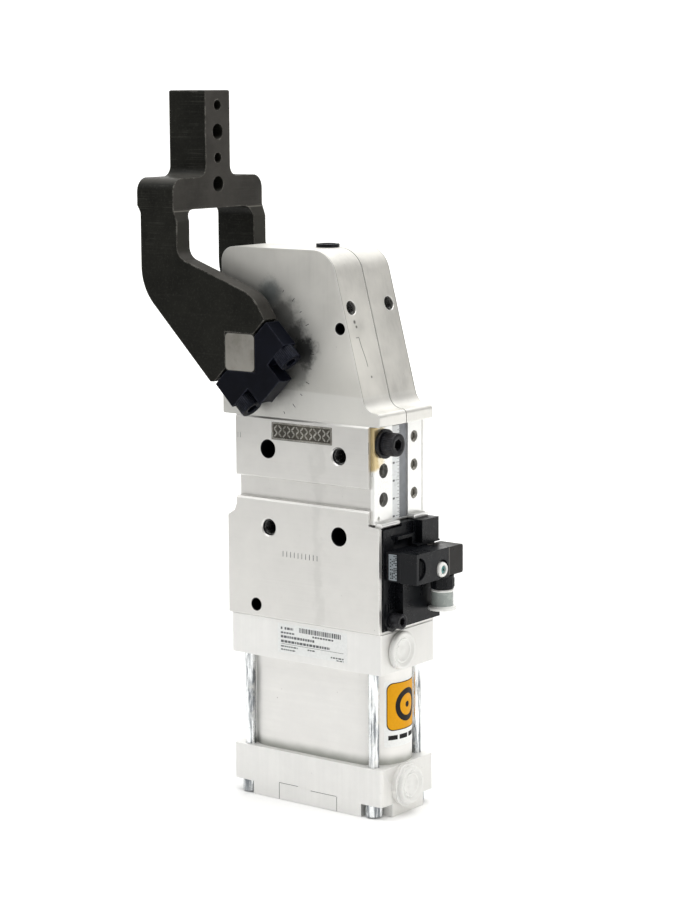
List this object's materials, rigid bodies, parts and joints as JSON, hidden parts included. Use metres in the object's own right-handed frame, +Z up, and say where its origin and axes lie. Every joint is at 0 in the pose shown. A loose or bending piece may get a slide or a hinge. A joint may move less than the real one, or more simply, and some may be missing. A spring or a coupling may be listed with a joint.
{
  "type": "pneumatic power clamp",
  "caption": "Upright pneumatic power clamp: flat-oval cylinder, milled housing block, two-part head and a forked lever arm on a square-ended shaft.",
  "frame": {"origin": "on the piston rod axis, in the plane of the underside of the base cover, midway between the two mounting sides", "axes": "+Z up along the piston rod towards the fork arm, +X towards the sensor cassette and the air ports, -Y and +Y the two mounting sides"},
  "size_m": [0.1843, 0.0818, 0.4033],
  "materials": {
    "cover_aluminium": "satin",
    "tube_aluminium": "matt",
    "block_aluminium": "milled",
    "head_aluminium": "milled",
    "plate_aluminium": "satin",
    "zinc_steel": "zinc plated",
    "bright_steel": "ground",
    "chrome_rod": "polished",
    "black_steel": "blackened",
    "arm_steel": "phosphated",
    "bronze": "plain",
    "rubber_black": "matt",
    "black_plastic": "fine texture",
    "blue_plastic": "satin",
    "clear_white_plastic": "translucent",
    "grey_plastic": "translucent",
    "scale_plastic": "printed",
    "slot_plastic": "plain",
    "teal_lens": "clear",
    "acetal": "plain"
  },
  "bodies": {
    "housing": {"base_cover": "cover_aluminium", "cylinder_tube": "tube_aluminium", "tube_seals": "rubber_black", "tie_rods": "zinc_steel", "cylinder_cover": "cover_aluminium", "cover_screws": "black_steel", "rod_bush": "bronze", "rod_seal": "rubber_black", "rod_wiper": "rubber_black", "housing_block": "block_aluminium", "head_half_near": "head_aluminium", "head_half_far": "head_aluminium", "head_screws": "zinc_steel", "head_plug": "black_plastic", "shaft_bushes": "bronze", "shaft_seals": "rubber_black", "guide_rails": "bright_steel", "guide_plate": "plate_aluminium", "guide_plate_screws": "bright_steel", "scale_strip": "scale_plastic", "slot_strip": "slot_plastic", "stop_screw": "black_steel", "stop_collar": "black_steel", "sensor_housing": "black_plastic", "sensor_heads": "blue_plastic", "sensor_screw": "black_steel", "connector_box": "black_plastic", "connector_block": "black_plastic", "m12_socket": "black_plastic", "lamp_ring": "clear_white_plastic", "lamp_lens": "teal_lens", "dust_cap": "grey_plastic", "port_plug_upper": "clear_white_plastic", "port_plug_lower": "clear_white_plastic"},
    "arm": {"crank_shaft": "bright_steel", "crank_pin": "bright_steel", "crank_roller": "bright_steel", "fork_arm": "arm_steel", "clamp_caps": "black_steel", "cap_screws": "black_steel"},
    "piston_group": {"piston": "plate_aluminium", "piston_seals": "rubber_black", "piston_band": "acetal", "piston_screw": "black_steel", "piston_rod": "chrome_rod", "crosshead": "bright_steel", "guide_axle": "bright_steel", "switch_cam": "acetal", "guide_rollers": "bright_steel"}
  },
  "joints": [
    {"name": "arm_swing", "type": "hinge", "parent": "housing", "child": "arm", "pos_m": [-0.0334, 0, 0.2589], "axis": [0, -1, 0], "range_deg": [0, 90]},
    {"name": "piston_slide", "type": "slide", "parent": "housing", "child": "piston_group", "axis": [0, 0, 1], "range_m": [0, 0.0408]}
  ],
  "couplings": [
    {"joint": "piston_slide", "follows": "arm_swing", "m_per_rad": 0.0259}
  ]
}
